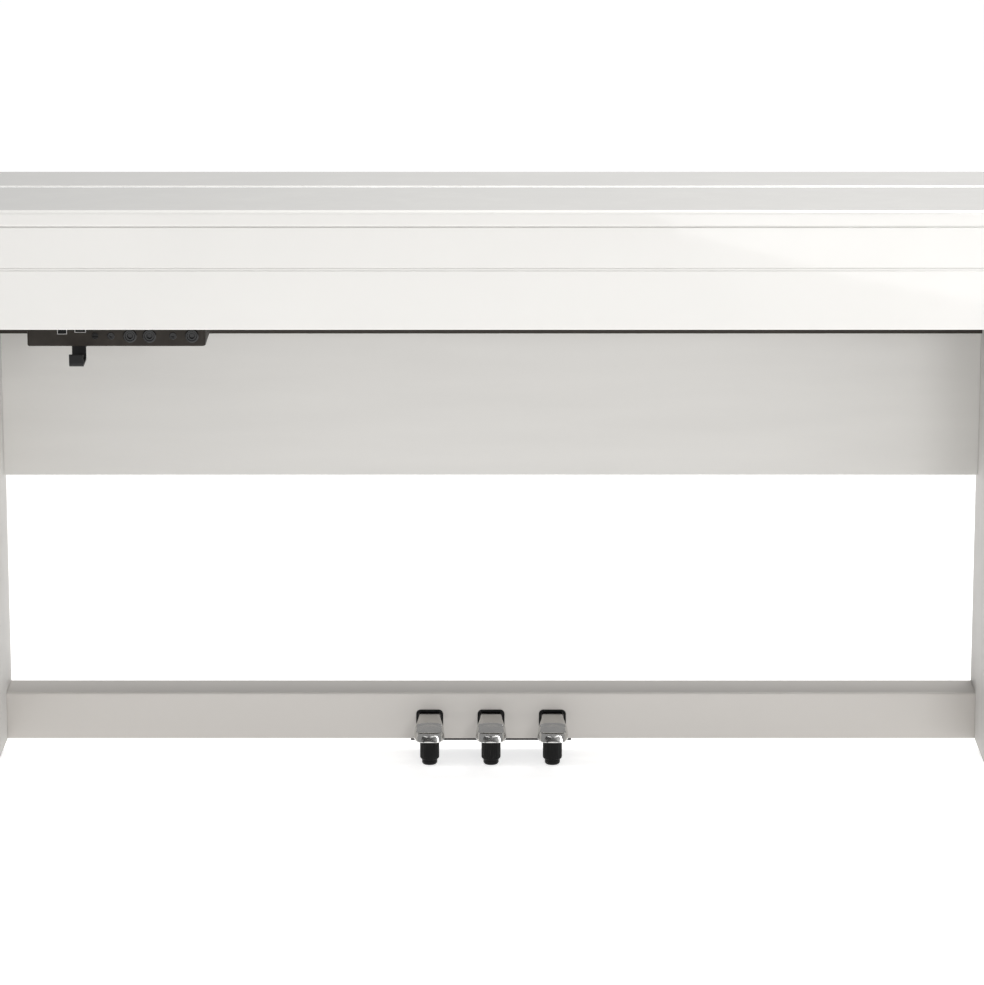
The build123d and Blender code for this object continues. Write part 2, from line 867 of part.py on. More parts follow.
def pedal_bezels():
    """Black linings of the three pedal slots."""
    bezels = []
    width = pedal_slot_width + 2 * bezel_wall
    y0 = rail_front_y - bezel_proud
    y1 = rail_front_y + rail_wall
    for x in pedal_x:
        lining = slot_shape(x, width, pedal_slot_top + bezel_wall, y0, y1)
        lining -= slot_shape(x, pedal_slot_width, pedal_slot_top, y0, y1)
        bezels.append(lining - slab(x - width, x + width, y0, y1, -1, foot_height))
    return group(bezels)


def pedal(x):
    """A lever with a narrow neck and a wide rounded head, bored for the rod."""
    tip = pedal_tip_y
    head_back = tip + pedal_head_length
    neck = pedal_neck_width / 2
    head = pedal_head_width / 2
    taper_y = head_back + pedal_taper
    heel = rod_y + 2 * pedal_rod_radius
    tip_top = pedal_top - pedal_tip_drop
    tip_low = tip_top - pedal_thickness
    low = pedal_top - pedal_thickness
    right = [(tip, head), (head_back, head), (taper_y, neck), (heel, neck)]
    left = [(y, -half) for y, half in reversed(right)]
    plan = Polygon(*[(x + half, y) for y, half in right + left], align=None)
    plan = fillet(plan.vertices().group_by(Axis.Y)[0], pedal_head_round)
    side = [
        (heel, pedal_top),
        (head_back, pedal_top - pedal_pad_drop),
        (tip, tip_top),
        (tip, tip_low),
        (head_back, low - pedal_keel),
        (rail_front_y, low),
        (rod_y + pedal_rod_radius, pedal_rod_height - 2 * pedal_rod_radius),
        (heel, pedal_rod_height - pedal_rod_radius),
    ]
    rounding = {(tip, tip_top): pedal_thickness * 0.3, (tip, tip_low): pedal_thickness * 0.15}
    bar = along_x(side, x - head, x + head, rounding)
    lever = bar & extrude(plan, amount=rail_top_z)
    return lever - rod_x(x - head, x + head, rod_y, pedal_rod_height, pedal_rod_radius + running_gap)


def rod_ears_x():
    """Where the bracket ears stand, outside and between the pedals."""
    half = base_plate_width / 2 - ear_sheet / 2
    return (-half, -pedal_pitch / 2, pedal_pitch / 2, half)


def pedal_base_plate():
    """The black plate under the rail, a raised tongue for each adjuster and the rod's ears."""
    half = base_plate_width / 2
    front = rail_front_y + plate_setback
    web_y = rail_front_y + rail_wall + plate_setback
    web_back = web_y + base_plate_sheet
    low = adjuster_knob_top + adjuster_travel + adjuster_gap
    top = low + base_plate_sheet
    plate = slab(-half, half, front, back_y - back_inset, plate_z, foot_height)
    for x in pedal_x:
        x0 = x - adjuster_radius
        x1 = x + adjuster_radius
        plate += slab(x0, x1, web_y, web_back, foot_height, top)
        plate += slab(x0, x1, adjuster_y, web_back, low, top)
        plate += post(x, adjuster_y, low, top, adjuster_radius)
        plate -= post(x, adjuster_y, low, top, adjuster_stem_radius + running_gap)
    ear_top = pedal_rod_height + 2 * pedal_rod_radius
    ear_y = (rod_y - 2 * pedal_rod_radius, rod_y + 2 * pedal_rod_radius)
    for x in rod_ears_x():
        plate += slab(x - ear_sheet / 2, x + ear_sheet / 2, *ear_y, foot_height, ear_top)
    return plate - rod_x(-half, half, rod_y, pedal_rod_height, pedal_rod_radius + running_gap)


def pedal_pivot_rod():
    """The steel rod that the three pedals turn on."""
    half = base_plate_width / 2 + rod_overhang
    return rod_x(-half, half, rod_y, pedal_rod_height, pedal_rod_radius)


def pedal_springs():
    """A torsion spring beside each pedal, its lower leg on the base plate."""
    springs = []
    for x in pedal_x:
        x0 = x + pedal_neck_width / 2 + spring_offset
        x1 = x0 + spring_width
        hole = pedal_rod_radius + spring_gap
        coil = rod_x(x0, x1, rod_y, pedal_rod_height, hole + spring_thickness)
        coil -= rod_x(x0, x1, rod_y, pedal_rod_height, hole)
        leg_y = rod_y - hole - spring_thickness + spring_gap
        leg = slab(x0, x0 + spring_wire, leg_y, leg_y + spring_wire, foot_height, pedal_rod_height)
        springs.append(coil + leg)
    return group(springs)


def adjuster(x):
    """A screw foot under a pedal: stem, knurled knob and narrower tread."""
    knob = post(x, adjuster_y, adjuster_step, adjuster_knob_top, adjuster_radius)
    tread = post(x, adjuster_y, 0, adjuster_step, adjuster_foot_radius)
    tread = fillet(tread.edges().sort_by(Axis.Z)[0], adjuster_step / 3)
    stem_top = adjuster_knob_top + adjuster_stem_length
    return knob + tread + post(x, adjuster_y, adjuster_knob_top, stem_top, adjuster_stem_radius)


# --- Fasteners ---
def screw_head(x, y, z, outward):
    """A slotted round head lying on a face that looks along +Y or -Y."""
    ends = sorted((y, y + outward * screw_head_height))
    head = rod_back(x, ends[0], ends[1], z, screw_head_radius)
    slot_y = sorted((y + outward * screw_head_height / 2, y + outward * screw_head_height))
    half = screw_slot / 2
    return head - slab(x - screw_head_radius, x + screw_head_radius, *slot_y, z - half, z + half)


def cabinet_screws():
    """The screws of the back board, the rear panel and the jack box."""
    screws = [screw_head(box_screw_x, jack_front_y, jack_z, -1)]
    last_x = inner_x - side_thickness
    for index in range(screw_count):
        x = last_x * (2 * index / (screw_count - 1) - 1)
        screws.append(screw_head(x, back_y - back_inset, cabinet_z + bottom_thickness / 2, 1))
        screws.append(screw_head(x, back_y - back_inset, deck_z - bottom_thickness, 1))
    return group(screws)


# --- Every piece, by its name ---
def all_parts():
    """Every named piece of the piano."""
    parts = {
        "left_side_panel": side_panel(True),
        "right_side_panel": side_panel(False),
        "panel_feet": panel_feet(),
        "rear_panel": rear_panel(),
        "bottom_board": bottom_board(),
        "key_slip": key_slip(),
        "rear_top_board": rear_top_board(),
        "cabinet_back_board": cabinet_back_board(),
        "key_blocks": key_blocks(),
        "key_bed_battens": key_bed_battens(),
        "lid_panel": lid_panel(),
        "lid_front_flap": lid_front_flap(),
        "lid_hinge_fixed_leaf": lid_hinge_leaf(True),
        "lid_hinge_lid_leaf": lid_hinge_leaf(False),
        "flap_hinge_lid_leaves": flap_hinge_leaves(True),
        "flap_hinge_flap_leaves": flap_hinge_leaves(False),
        "lid_bumpers": lid_bumpers(),
        "key_chassis": key_chassis(),
        "key_balance_rail": key_balance_rail(),
        "key_stop_felt": key_stop_felt(),
        "control_panel": control_panel(),
        "display_window": display_window(),
        "volume_knob": volume_knob(),
        "speakers": speakers(),
        "main_board": main_board(),
        "jack_box": jack_box(),
        "phones_jack": phone_socket(phones_x),
        "output_jacks": group([phone_socket(x) for x in output_x]),
        "mini_jacks": group([mini_socket(x) for x in mini_x]),
        "usb_ports": usb_ports(),
        "headphone_hook": headphone_hook(),
        "dc_inlet": dc_inlet(),
        "pedal_rail": pedal_rail(),
        "pedal_rail_back": pedal_rail_back(),
        "pedal_bezels": pedal_bezels(),
        "pedal_base_plate": pedal_base_plate(),
        "pedal_pivot_rod": pedal_pivot_rod(),
        "pedal_springs": pedal_springs(),
        "cabinet_screws": cabinet_screws(),
    }
    for note in CHROMATIC:
        parts["keys_" + note] = keys_of(note)
    for name in button_places:
        parts[name] = panel_button(name)
    for place, x in zip(("left", "middle", "right"), pedal_x):
        parts[place + "_pedal"] = pedal(x)
        parts[place + "_adjuster"] = adjuster(x)
    return parts


os.makedirs("parts", exist_ok=True)
for part_name, shape in all_parts().items():
    export_step(shape, "parts/" + part_name + ".step")
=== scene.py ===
import json
import math

import bmesh
import bpy
from bpy.props import FloatProperty, FloatVectorProperty, IntProperty, PointerProperty
from mathutils import Matrix, Vector


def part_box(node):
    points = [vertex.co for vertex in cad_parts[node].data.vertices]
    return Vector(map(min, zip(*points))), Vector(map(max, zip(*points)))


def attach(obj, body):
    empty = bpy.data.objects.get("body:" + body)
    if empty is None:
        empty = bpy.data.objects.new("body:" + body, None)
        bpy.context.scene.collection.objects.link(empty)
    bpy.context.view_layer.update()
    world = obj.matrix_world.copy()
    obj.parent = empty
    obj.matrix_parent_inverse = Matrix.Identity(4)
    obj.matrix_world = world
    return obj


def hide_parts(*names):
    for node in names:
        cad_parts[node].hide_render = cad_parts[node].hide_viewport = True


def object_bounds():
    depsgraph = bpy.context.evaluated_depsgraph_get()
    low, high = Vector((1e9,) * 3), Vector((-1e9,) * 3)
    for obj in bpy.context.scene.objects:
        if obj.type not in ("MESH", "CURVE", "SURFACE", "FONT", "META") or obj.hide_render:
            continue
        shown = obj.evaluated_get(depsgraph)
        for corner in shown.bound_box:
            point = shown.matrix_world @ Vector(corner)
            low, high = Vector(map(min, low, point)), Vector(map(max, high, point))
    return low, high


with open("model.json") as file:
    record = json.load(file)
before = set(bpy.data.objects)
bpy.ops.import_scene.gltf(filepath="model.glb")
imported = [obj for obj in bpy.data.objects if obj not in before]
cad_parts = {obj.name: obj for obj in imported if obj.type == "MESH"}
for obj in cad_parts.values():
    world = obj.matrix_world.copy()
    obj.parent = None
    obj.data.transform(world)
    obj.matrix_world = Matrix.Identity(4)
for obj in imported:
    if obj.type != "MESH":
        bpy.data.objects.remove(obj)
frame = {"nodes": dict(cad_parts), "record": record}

bl_info = {
    "name": "Slim Cabinet Digital Piano",
    "version": (1, 0, 0),
    "blender": (4, 5, 0),
    "location": "View3D > Sidebar > Piano",
    "description": "Builds the visible pieces of a slim cabinet digital piano around its frame",
    "category": "Object",
}

cad_box = [list(corner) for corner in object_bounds()]
MM = 0.001
PEDALS = ("left", "middle", "right")
NOTES = ("c", "c_sharp", "d", "d_sharp", "e", "f", "f_sharp", "g", "g_sharp", "a", "a_sharp", "b")
HINGES = ("lid_hinge_fixed_leaf", "lid_hinge_lid_leaf", "flap_hinge_lid_leaves", "flap_hinge_flap_leaves")
BUTTONS = ("power_button", "tone_button", "metronome_button")


# --- What a user may change ---
def length(name, description, default):
    """A length property in metres."""
    return FloatProperty(
        name=name, description=description, default=default, min=0.0, unit="LENGTH", precision=5
    )


def whole(name, description, default, high):
    """A whole number property."""
    return IntProperty(name=name, description=description, default=default, min=2, max=high)


def colour(name, description, default):
    """A linear colour property."""
    return FloatVectorProperty(
        name=name, description=description, default=default, size=3, min=0.0, max=1.0, subtype="COLOR"
    )


class PianoSizes(bpy.types.PropertyGroup):
    """Roundings and small sizes of the visible pieces"""

    lid_round: length("Lid round", "Radius along the lid's front edge", 5.0 * MM)
    board_round: length("Board round", "Radius along the other board edges", 1.5 * MM)
    groove_round: length("Groove round", "Radius beside the groove under the flap", 1.0 * MM)
    hidden_round: length("Hidden round", "Radius along edges inside the cabinet", 0.5 * MM)
    rail_round: length("Rail round", "Radius along the pedal rail's front edge", 3.0 * MM)
    rail_wall: length("Rail wall", "Thickness of the pedal rail's board", 15.0 * MM)
    key_bevel: length("Key bevel", "Softening of the keys' edges", 0.7 * MM)
    bead_depth: length("Bead depth", "How far the shadow beads stand behind the boards' fronts", 0.9 * MM)
    bead_gap: length("Bead gap", "Clearance between a shadow bead and the board beside it", 0.3 * MM)
    trim_bevel: length("Trim bevel", "Softening of small metal and plastic edges", 0.35 * MM)
    round_steps: whole("Round steps", "Facets on each rounded edge", 8, 24)
    knurl_ribs: whole("Knurl ribs", "Ribs round an adjuster's knob", 28, 60)


class PianoColours(bpy.types.PropertyGroup):
    """Colours of the finishes"""

    lacquer: colour("Lacquer", "Gloss lacquer of the boards", (0.83, 0.815, 0.785))
    satin: colour("Satin board", "Satin foil of the rear panel and the backs", (0.75, 0.735, 0.705))
    # Painted shade: the sides' white is set darker than the boards' lacquer for the shade the sides stand
    # in.
    side: colour("Sides", "Satin paint of the slab sides", (0.66, 0.645, 0.62))
    # Painted shade: the rail's lacquer is set darker than the boards' for the shade under the cabinet's
    # overhang; its tone is also slightly warmer.
    rail: colour("Rail", "Lacquer of the pedal rail", (0.64, 0.612, 0.578))
    charcoal: colour("Charcoal", "Moulded jack box", (0.034, 0.029, 0.024))
    # This black also colours the port linings, which fill the ports' hollows as painted shade.
    black: colour("Black", "Moulded feet, adjusters and linings", (0.005, 0.005, 0.005))
    strip: colour("Control strip", "Strip behind the keys", (0.055, 0.054, 0.052))
    chrome: colour("Chrome", "Pedals", (0.66, 0.655, 0.64))
    steel: colour("Steel", "Bare steel pieces", (0.52, 0.51, 0.5))
    hinge: colour("Hinge", "Painted hinge leaves", (0.86, 0.855, 0.84))
    natural: colour("Naturals", "White keys", (0.82, 0.8, 0.74))
    sharp: colour("Sharps", "Black keys", (0.012, 0.012, 0.013))
    felt: colour("Felt", "Felt strips", (0.28, 0.02, 0.03))
    wood: colour("Wood", "Bare beech inside", (0.52, 0.36, 0.2))
    circuit: colour("Circuit board", "Sound board", (0.015, 0.11, 0.05))
    floor: colour("Floor", "Studio floor", (0.9, 0.9, 0.9))


def sizes():
    return bpy.context.scene.piano_sizes


def colours():
    return bpy.context.scene.piano_colours


# --- Node helpers ---
def blank_material(name):
    """A new material with its tree and its Principled shader."""
    material = bpy.data.materials.new(name)
    material.use_nodes = True
    return material, material.node_tree, material.node_tree.nodes["Principled BSDF"]


def object_place(tree, scale=(1.0, 1.0, 1.0)):
    """Object coordinates, stretched by a scale."""
    place = tree.nodes.new("ShaderNodeTexCoord")
    mapping = tree.nodes.new("ShaderNodeMapping")
    mapping.inputs["Scale"].default_value = scale
    tree.links.new(place.outputs["Object"], mapping.inputs["Vector"])
    return mapping.outputs["Vector"]


def noise(tree, scale, detail=3.0, stretch=(1.0, 1.0, 1.0)):
    """A noise factor whose scale is in features per metre."""
    texture = tree.nodes.new("ShaderNodeTexNoise")
    texture.inputs["Scale"].default_value = scale
    texture.inputs["Detail"].default_value = detail
    tree.links.new(object_place(tree, stretch), texture.inputs["Vector"])
    return texture.outputs["Fac"]


def remapped(tree, factor, low, high):
    """A factor spread between two values."""
    spread = tree.nodes.new("ShaderNodeMapRange")
    spread.inputs["From Min"].default_value = 0.3
    spread.inputs["From Max"].default_value = 0.7
    spread.inputs["To Min"].default_value = low
    spread.inputs["To Max"].default_value = high
    tree.links.new(factor, spread.inputs["Value"])
    return spread.outputs["Result"]


def mixed(tree, factor, first, second):
    """A colour between two, chosen by a factor."""
    mix = tree.nodes.new("ShaderNodeMix")
    mix.data_type = "RGBA"
    mix.inputs["A"].default_value = (*first, 1.0)
    mix.inputs["B"].default_value = (*second, 1.0)
    tree.links.new(factor, mix.inputs["Factor"])
    return mix.outputs["Result"]


def shaded(value, share):
    """A colour darkened or lightened by a share."""
    return tuple(min(1.0, channel * share) for channel in value)


def add_bump(tree, shader, height, depth, normal=None):
    """Bumps of a real depth in metres."""
    bump = tree.nodes.new("ShaderNodeBump")
    bump.inputs["Distance"].default_value = depth
    bump.inputs["Strength"].default_value = 1.0
    tree.links.new(height, bump.inputs["Height"])
    if normal:
        tree.links.new(normal, bump.inputs["Normal"])
    tree.links.new(bump.outputs["Normal"], shader.inputs["Normal"])
    return bump.outputs["Normal"]


def varied(tree, shader, base, spread, scale, stretch=(1.0, 1.0, 1.0), detail=3.0):
    """Base colour with a slight procedural variation."""
    factor = noise(tree, scale, detail, stretch)
    share = remapped(tree, factor, 0.0, 1.0)
    tone = mixed(tree, share, shaded(base, 1.0 - spread), shaded(base, 1.0 + spread))
    tree.links.new(tone, shader.inputs["Base Color"])


def varied_roughness(tree, shader, low, high, scale, stretch=(1.0, 1.0, 1.0)):
    """Roughness that drifts between two values."""
    factor = noise(tree, scale, 4.0, stretch)
    tree.links.new(remapped(tree, factor, low, high), shader.inputs["Roughness"])


# --- Materials ---
def gloss_lacquer():
    """Polished white lacquer with faint orange peel."""
    material, tree, shader = blank_material("gloss_lacquer")
    varied(tree, shader, colours().lacquer, 0.012, 6.0)
    varied_roughness(tree, shader, 0.10, 0.16, 25.0)
    shader.inputs["Coat Weight"].default_value = 0.7
    shader.inputs["Coat Roughness"].default_value = 0.025
    shader.inputs["IOR"].default_value = 1.5
    add_bump(tree, shader, noise(tree, 160.0, 2.0), 0.000012)
    return material


def satin_foil():
    """Satin white foil with a fine lengthwise grain."""
    material, tree, shader = blank_material("satin_foil")
    varied(tree, shader, colours().satin, 0.02, 14.0, (0.25, 1.0, 2.0), 5.0)
    varied_roughness(tree, shader, 0.34, 0.44, 40.0, (0.2, 1.0, 3.0))
    grain = noise(tree, 700.0, 3.0, (0.06, 1.0, 1.0))
    add_bump(tree, shader, grain, 0.00003)
    return material


def side_shade_foil():
    """Satin paint of the slab sides, with little mirror in it; its white is set darker than the boards'
    lacquer as painted shade.
    """
    material, tree, shader = blank_material("side_shade_foil")
    varied(tree, shader, colours().side, 0.02, 6.0)
    varied_roughness(tree, shader, 0.5, 0.62, 40.0)
    shader.inputs["Specular IOR Level"].default_value = 0.1
    add_bump(tree, shader, noise(tree, 900.0, 3.0), 0.00002)
    return material


def rail_shade_lacquer():
    """The pedal rail's lacquer, slightly warmer in tone and set darker than the boards' as painted shade
    under the cabinet's overhang.
    """
    material, tree, shader = blank_material("rail_shade_lacquer")
    varied(tree, shader, colours().rail, 0.012, 2.0)
    varied_roughness(tree, shader, 0.3, 0.33, 3.0)
    add_bump(tree, shader, noise(tree, 500.0, 3.0), 0.00001)
    return material


def moulded(name, base, rough, grain_depth):
    """Moulded plastic with a fine spark-eroded texture."""
    material, tree, shader = blank_material(name)
    shader.inputs["Specular IOR Level"].default_value = 0.15
    varied(tree, shader, base, 0.12, 90.0)
    varied_roughness(tree, shader, rough - 0.06, rough + 0.06, 120.0)
    add_bump(tree, shader, noise(tree, 2600.0, 2.0), grain_depth)
    return material


def chrome_plate():
    """Polished plate with faint drag marks along the pedal."""
    material, tree, shader = blank_material("chrome_plate")
    varied(tree, shader, colours().chrome, 0.03, 60.0)
    varied_roughness(tree, shader, 0.13, 0.18, 60.0)
    shader.inputs["Metallic"].default_value = 1.0
    add_bump(tree, shader, noise(tree, 300.0, 2.0, (1.0, 0.2, 1.0)), 0.000002)
    return material


def brushed(name, base, rough):
    """Plain metal with a fine drawn grain along X."""
    material, tree, shader = blank_material(name)
    varied(tree, shader, base, 0.06, 200.0, (0.1, 1.0, 1.0))
    varied_roughness(tree, shader, rough - 0.08, rough + 0.08, 500.0, (0.1, 1.0, 1.0))
    shader.inputs["Metallic"].default_value = 1.0
    add_bump(tree, shader, noise(tree, 1500.0, 2.0, (0.05, 1.0, 1.0)), 0.00001)
    return material


def powder_coat(name, base, rough):
    """Powder coat with a fine pebbled skin."""
    material, tree, shader = blank_material(name)
    shader.inputs["Specular IOR Level"].default_value = 0.25
    varied(tree, shader, base, 0.05, 50.0)
    varied_roughness(tree, shader, rough - 0.05, rough + 0.05, 150.0)
    add_bump(tree, shader, noise(tree, 1400.0, 2.0), 0.00004)
    return material


def key_top(name, base, rough, depth):
    """Key plastic with a faint lengthwise grain."""
    material, tree, shader = blank_material(name)
    varied(tree, shader, base, 0.015, 30.0, (1.0, 0.3, 1.0))
    varied_roughness(tree, shader, rough - 0.05, rough + 0.05, 220.0, (1.0, 0.2, 1.0))
    shader.inputs["Coat Weight"].default_value = 0.15
    add_bump(tree, shader, noise(tree, 2200.0, 3.0, (1.0, 0.12, 1.0)), depth)
    return material


def felt_cloth():
    """Pressed felt with short fibres."""
    material, tree, shader = blank_material("felt_cloth")
    varied(tree, shader, colours().felt, 0.2, 400.0, detail=6.0)
    shader.inputs["Roughness"].default_value = 0.95
    shader.inputs["Sheen Weight"].default_value = 0.6
    add_bump(tree, shader, noise(tree, 1800.0, 6.0), 0.0003)
    return material


def bare_wood():
    """Plain beech with a long grain."""
    material, tree, shader = blank_material("bare_wood")
    grain = noise(tree, 90.0, 6.0, (0.08, 1.0, 1.0))
    tone = mixed(tree, grain, shaded(colours().wood, 0.8), shaded(colours().wood, 1.15))
    tree.links.new(tone, shader.inputs["Base Color"])
    shader.inputs["Roughness"].default_value = 0.6
    add_bump(tree, shader, grain, 0.0002)
    return material


def circuit_mask():
    """Green solder mask with dim tracks."""
    material, tree, shader = blank_material("circuit_mask")
    cells = tree.nodes.new("ShaderNodeTexVoronoi")
    cells.distance = "MANHATTAN"
    cells.inputs["Scale"].default_value = 260.0
    tree.links.new(object_place(tree), cells.inputs["Vector"])
    base = colours().circuit
    spread = remapped(tree, cells.outputs["Distance"], 0.0, 1.0)
    tone = mixed(tree, spread, shaded(base, 1.5), shaded(base, 0.8))
    tree.links.new(tone, shader.inputs["Base Color"])
    shader.inputs["Roughness"].default_value = 0.35
    add_bump(tree, shader, cells.outputs["Distance"], 0.00005)
    return material


def smoked_glass():
    """Dark gloss window."""
    material, tree, shader = blank_material("smoked_glass")
    varied(tree, shader, (0.012, 0.012, 0.016), 0.2, 40.0)
    varied_roughness(tree, shader, 0.04, 0.09, 60.0)
    shader.inputs["Coat Weight"].default_value = 1.0
    add_bump(tree, shader, noise(tree, 300.0, 2.0), 0.000004)
    return material


MAKERS = {
    "gloss_lacquer": gloss_lacquer,
    "satin_foil": satin_foil,
    "side_shade_foil": side_shade_foil,
    "rail_shade_lacquer": rail_shade_lacquer,
    "charcoal_moulding": lambda: moulded("charcoal_moulding", colours().charcoal, 0.42, 0.00004),
    "black_moulding": lambda: moulded("black_moulding", colours().black, 0.36, 0.00003),
    "strip_moulding": lambda: moulded("strip_moulding", colours().strip, 0.45, 0.00003),
    "socket_black": lambda: key_top("socket_black", colours().black, 0.2, 0.000004),
    "soft_rubber": lambda: moulded("soft_rubber", colours().black, 0.7, 0.00008),
    "chrome_plate": chrome_plate,
    "plain_steel": lambda: brushed("plain_steel", colours().steel, 0.32),
    "black_coat": lambda: powder_coat("black_coat", shaded(colours().black, 1.6), 0.4),
    "dark_paint": lambda: powder_coat("dark_paint", shaded(colours().charcoal, 1.3), 0.6),
    "hinge_coat": lambda: powder_coat("hinge_coat", colours().hinge, 0.3),
    "natural_key": lambda: key_top("natural_key", colours().natural, 0.24, 0.000008),
    "sharp_key": lambda: key_top("sharp_key", colours().sharp, 0.42, 0.00003),
    "felt_cloth": felt_cloth,
    "bare_wood": bare_wood,
    "circuit_mask": circuit_mask,
    "smoked_glass": smoked_glass,
}


def finish_named(name):
    """The material of that name, made once."""
    return bpy.data.materials.get(name) or MAKERS[name]()


# --- Mesh helpers ---
def rounded_outline(corners, radii, steps):
    """The points of a closed outline whose corners are turned into arcs."""
    points = []
    for index, corner in enumerate(corners):
        here = Vector(corner)
        back = (Vector(corners[index - 1]) - here).normalized()
        ahead = (Vector(corners[(index + 1) % len(corners)]) - here).normalized()
        if radii[index] <= 0:
            points.append(here)
            continue
        half = back.angle(ahead) / 2
        reach = radii[index] / math.tan(half)
        centre = here + (back + ahead).normalized() * (radii[index] / math.sin(half))
        first = here + back * reach - centre
        last = here + ahead * reach - centre
        turn = first.angle(last)
        for step in range(steps + 1):
            share = step / steps
            blend = first * math.sin((1 - share) * turn) + last * math.sin(share * turn)
            points.append(centre + blend / math.sin(turn))
    return points


AXES = {
    "X": lambda a, b, h: (h, a, b),
    "Y": lambda a, b, h: (a, h, b),
    "Z": lambda a, b, h: (a, b, h),
}


def bevelled(shape, edges, offset, segments):
    """Rounds the given edges of a shape."""
    bmesh.ops.bevel(
        shape, geom=edges, offset=offset, segments=segments, profile=0.5, affect="EDGES", clamp_overlap=True
    )


def carried(outline, low, high, axis, end_round=0.0, steps=3):
    """A closed outline carried along an axis, its two ends softened."""
    shape = bmesh.new()
    loops = []
    for height in (low, high):
        loops.append([shape.verts.new(AXES[axis](point[0], point[1], height)) for point in outline])
    caps = [shape.faces.new(loops[0][::-1]), shape.faces.new(loops[1])]
    for index in range(len(outline)):
        after = (index + 1) % len(outline)
        shape.faces.new((loops[0][index], loops[0][after], loops[1][after], loops[1][index]))
    bmesh.ops.recalc_face_normals(shape, faces=shape.faces)
    if end_round > 0:
        rims = list({edge for cap in caps for edge in cap.edges})
        bevelled(shape, rims, end_round, steps)
    return shape


def turned(profile, steps, matrix, ribs=0, rib_depth=0.0, ribbed=()):
    """A profile of (radius, height) points turned about an axis; chosen points take ribs."""
    shape = bmesh.new()
    rings = []
    for index, (radius, height) in enumerate(profile):
        ring = []
        for step in range(steps):
            angle = 2 * math.pi * step / steps
            depth = rib_depth * (0.5 - 0.5 * math.cos(ribs * angle)) if index in ribbed else 0.0
            spot = Vector(((radius - depth) * math.cos(angle), (radius - depth) * math.sin(angle), height))
            ring.append(shape.verts.new(matrix @ spot))
        rings.append(ring)
    for lower, upper in zip(rings, rings[1:]):
        for step in range(steps):
            after = (step + 1) % steps
            shape.faces.new((lower[step], lower[after], upper[after], upper[step]))
    shape.faces.new(rings[0][::-1])
    shape.faces.new(rings[-1])
    bmesh.ops.recalc_face_normals(shape, faces=shape.faces)
    return shape


def joined(shapes):
    """Several shapes in one."""
    whole = bmesh.new()
    for shape in shapes:
        mesh = bpy.data.meshes.new("join")
        shape.to_mesh(mesh)
        shape.free()
        whole.from_mesh(mesh)
        bpy.data.meshes.remove(mesh)
    return whole


def smooth(piece, degrees=32.0):
    """Smooth shading with sharp edges kept and flat faces held flat."""
    piece.data.shade_smooth()
    piece.data.set_sharp_from_angle(angle=math.radians(degrees))
    hold = piece.modifiers.new("hold_flats", "WEIGHTED_NORMAL")
    hold.keep_sharp = True


def make_piece(name, shape, finish, body, nodes=(), degrees=32.0):
    """A finished piece that rides on a body and stands for CAD nodes."""
    mesh = bpy.data.meshes.new(name)
    shape.to_mesh(mesh)
    shape.free()
    piece = bpy.data.objects.new(name, mesh)
    bpy.context.scene.collection.objects.link(piece)
    mesh.materials.append(finish_named(finish))
    smooth(piece, degrees)
    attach(piece, body)
    if nodes:
        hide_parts(*nodes)
    return piece


def carve(piece, shapes):
    """Cuts shapes out of a piece."""
    cutters = []
    for shape in shapes:
        mesh = bpy.data.meshes.new("cutter")
        shape.to_mesh(mesh)
        shape.free()
        cutter = bpy.data.objects.new("cutter", mesh)
        bpy.context.scene.collection.objects.link(cutter)
        cut = piece.modifiers.new("cut", "BOOLEAN")
        cut.operation = "DIFFERENCE"
        cut.solver = "EXACT"
        cut.object = cutter
        cutters.append(cutter)
    piece.modifiers.move(piece.modifiers.find("hold_flats"), len(piece.modifiers) - 1)
    hold = piece.modifiers["hold_flats"]
    hold.show_viewport = False
    graph = bpy.context.evaluated_depsgraph_get()
    carved = bpy.data.meshes.new_from_object(piece.evaluated_get(graph))
    piece.modifiers.clear()
    piece.data = carved
    for cutter in cutters:
        bpy.data.objects.remove(cutter)
    smooth(piece)
    return piece


def body_holding(node):
    """The body that a CAD node belongs to."""
    groups = frame["record"]["behaviour"]["bodies"]
    return next(body for body, members in groups.items() if node in members)


def softened(node, finish, bevel, segments=2, degrees=32.0):
    """A copy of a CAD node with welded faces and softened edges."""
    shape = bmesh.new()
    shape.from_mesh(frame["nodes"][node].data)
    bmesh.ops.remove_doubles(shape, verts=shape.verts, dist=0.001 * MM)
    bmesh.ops.dissolve_limit(
        shape,
        angle_limit=math.radians(1.0),
        verts=shape.verts,
        edges=shape.edges,
        use_dissolve_boundaries=False,
    )
    shared = [edge for edge in shape.edges if len(edge.link_faces) == 2]
    sharp = [edge for edge in shared if edge.calc_face_angle() > math.radians(degrees)]
    bevelled(shape, sharp, bevel, segments)
    return make_piece(node + "_piece", shape, finish, body_holding(node), (node,), degrees)


def dressed(node, finish):
    """A CAD node that keeps its shape and takes a finished material."""
    for holder in frame["nodes"][node].material_slots:
        holder.material = finish_named(finish)


def board(node, finish, radii, end_round):
    """A board along X with four rounded long edges, in its CAD node's box.

    The radii run front bottom, back bottom, back top, front top.
    """
    low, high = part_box(node)
    corners = [(low[1], low[2]), (high[1], low[2]), (high[1], high[2]), (low[1], high[2])]
    outline = rounded_outline(corners, radii, sizes().round_steps)
    shape = carried(outline, low[0], high[0], "X", end_round)
    return make_piece(node + "_piece", shape, finish, body_holding(node), (node,))


